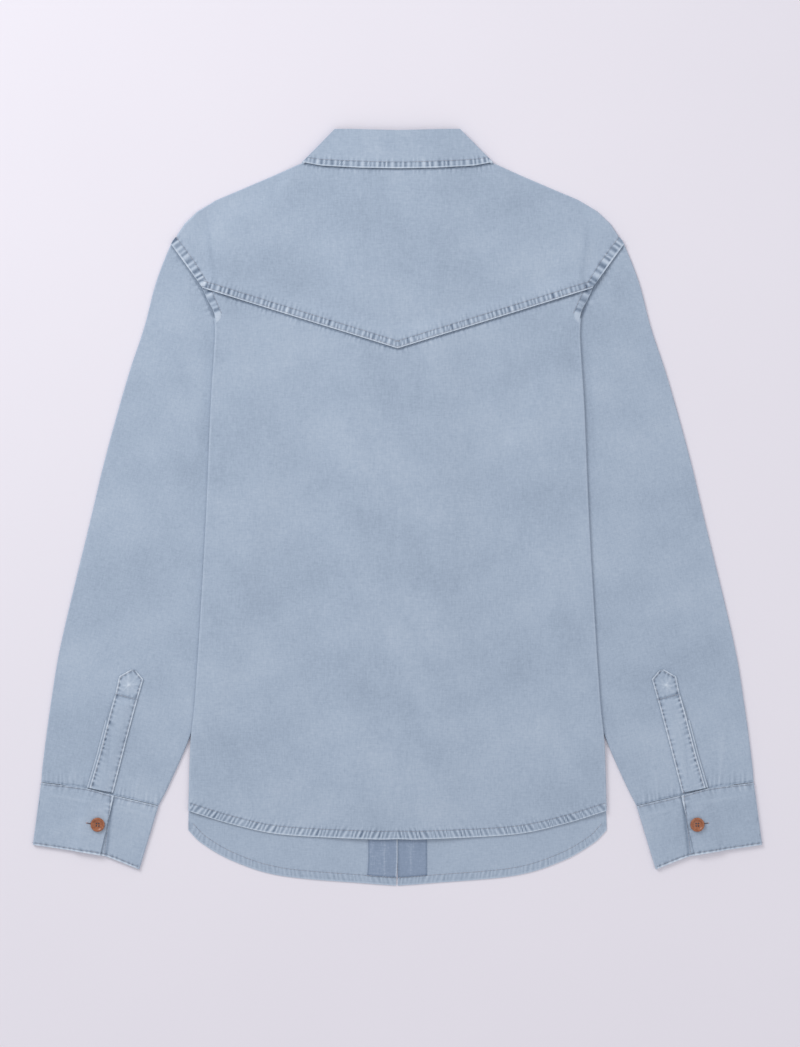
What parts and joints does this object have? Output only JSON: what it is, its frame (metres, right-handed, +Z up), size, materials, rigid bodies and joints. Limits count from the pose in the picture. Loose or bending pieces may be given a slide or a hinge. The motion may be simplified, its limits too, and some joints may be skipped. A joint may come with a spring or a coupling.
{
  "type": "denim shirt laid flat",
  "caption": "Long-sleeved denim shirt with a pointed western back yoke, laid flat and face down.",
  "frame": {"origin": "centre of the shirt's outline, on the surface it lies on", "axes": "+X towards the wearer's right sleeve, +Y from the hem to the collar, +Z up off the surface, out of the shirt's back"},
  "size_m": [0.7288, 0.7558, 0.0084],
  "materials": {
    "denim": "washed light blue denim, matt",
    "denim_inside": "inside of washed denim, matt and a little darker",
    "denim_trim": "washed light blue denim, worn at its edges",
    "horn": "brown, polished"
  },
  "bodies": {
    "root": {"front_right": "denim", "front_left": "denim", "front_facing_right": "denim_inside", "front_facing_left": "denim_inside", "back_panel": "denim", "back_yoke": "denim", "sleeve_right": "denim", "sleeve_left": "denim", "sleeve_placket_right": "denim_trim", "sleeve_placket_left": "denim_trim", "sleeve_binding_right": "denim_trim", "sleeve_binding_left": "denim_trim", "cuff_right": "denim_trim", "cuff_left": "denim_trim", "collar_stand": "denim", "collar_leaf": "denim_trim", "cuff_button_right": "horn", "cuff_button_left": "horn", "front_button_1": "horn", "front_button_2": "horn", "front_button_3": "horn", "front_button_4": "horn", "front_button_5": "horn", "front_button_6": "horn", "collar_button": "horn"}
  },
  "joints": []
}
